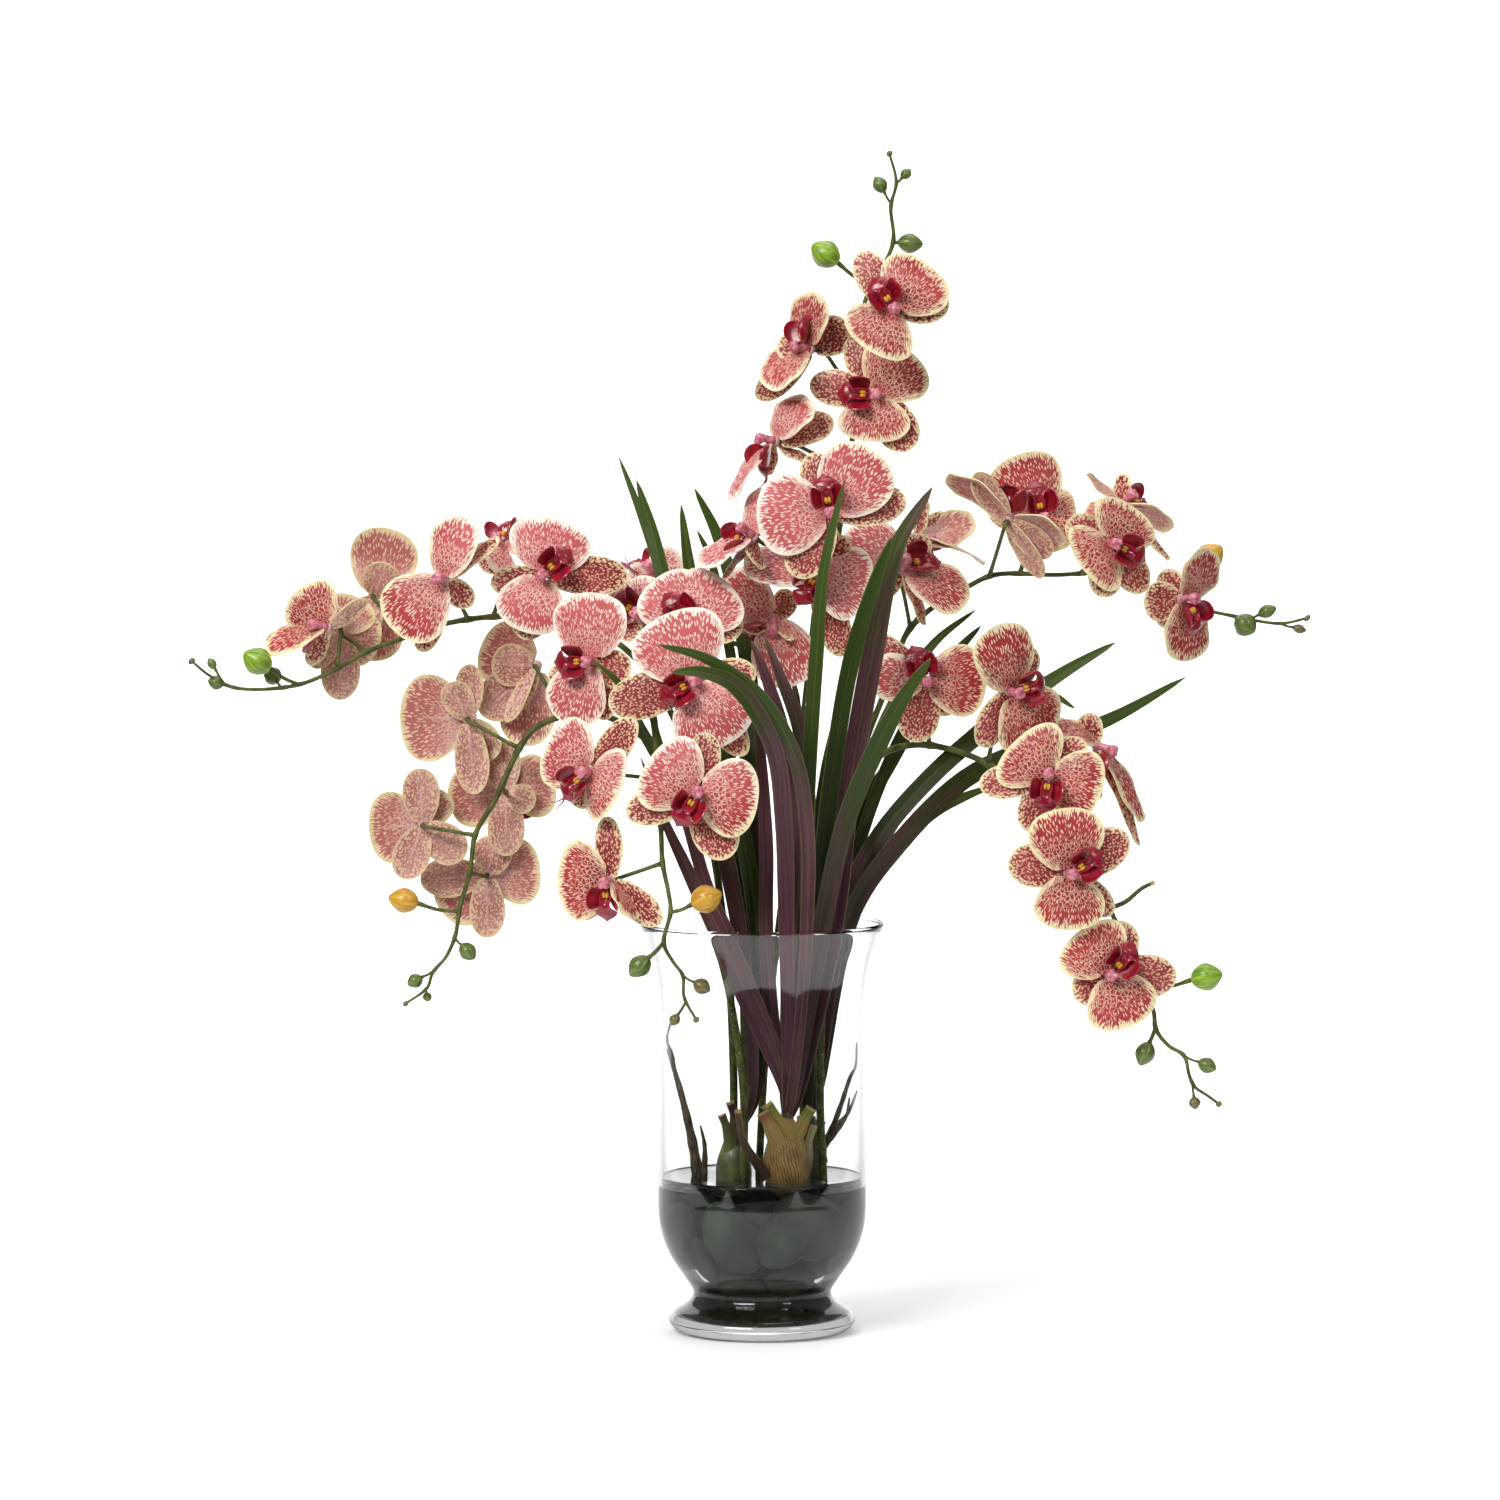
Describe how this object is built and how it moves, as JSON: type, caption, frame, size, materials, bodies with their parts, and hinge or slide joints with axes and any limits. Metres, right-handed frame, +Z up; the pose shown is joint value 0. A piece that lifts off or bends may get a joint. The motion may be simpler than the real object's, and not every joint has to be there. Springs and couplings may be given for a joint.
{
  "type": "cymbidium orchid in vase",
  "caption": "Orchid plant arrangement: arching sprays of patterned red blooms and strap leaves rising from bulbs in a footed clear glass vase with water and stones.",
  "frame": {"origin": "middle of the vase foot's underside, on the vase axis", "axes": "+Z up along the vase axis, -Y towards the viewer at the front, +X to the viewer's right"},
  "size_m": [0.8379, 0.2833, 0.8778],
  "materials": {
    "glass": "polished",
    "water": "clear, dark",
    "stone": "wet",
    "bulb": "fibrous",
    "root": "matt",
    "leaf": "satin",
    "stem": "satin",
    "petal": "soft satin"
  },
  "bodies": {
    "root": {"vase": "glass", "water": "water", "stone_bed": "stone", "bulb_front": "bulb", "bulb_left": "bulb", "bulb_back": "bulb", "root_left": "root", "root_right": "root", "leaves_front": "leaf", "leaves_left": "leaf", "leaves_back": "leaf", "spray_a": "stem", "spray_b": "stem", "spray_c": "stem", "spray_d": "stem", "spray_e": "stem", "spray_f": "stem", "spray_g": "stem", "bloom_a1": "petal", "bloom_a2": "petal", "bloom_a3": "petal", "bloom_a4": "petal", "bloom_a5": "petal", "bloom_a6": "petal", "bloom_b1": "petal", "bloom_b2": "petal", "bloom_b3": "petal", "bloom_b4": "petal", "bloom_b5": "petal", "bloom_b6": "petal", "bloom_b7": "petal", "bloom_c1": "petal", "bloom_c2": "petal", "bloom_c3": "petal", "bloom_c6": "petal", "bloom_c4": "petal", "bloom_c5": "petal", "bloom_d1": "petal", "bloom_d2": "petal", "bloom_d3": "petal", "bloom_d4": "petal", "bloom_d5": "petal", "bloom_d6": "petal", "bloom_e1": "petal", "bloom_e2": "petal", "bloom_e3": "petal", "bloom_e4": "petal", "bloom_e5": "petal", "bloom_f1": "petal", "bloom_f2": "petal", "bloom_f3": "petal", "bloom_f4": "petal", "bloom_f5": "petal", "bloom_g1": "petal", "bloom_g2": "petal", "bloom_g3": "petal", "bloom_g4": "petal", "bloom_g5": "petal"}
  },
  "joints": []
}
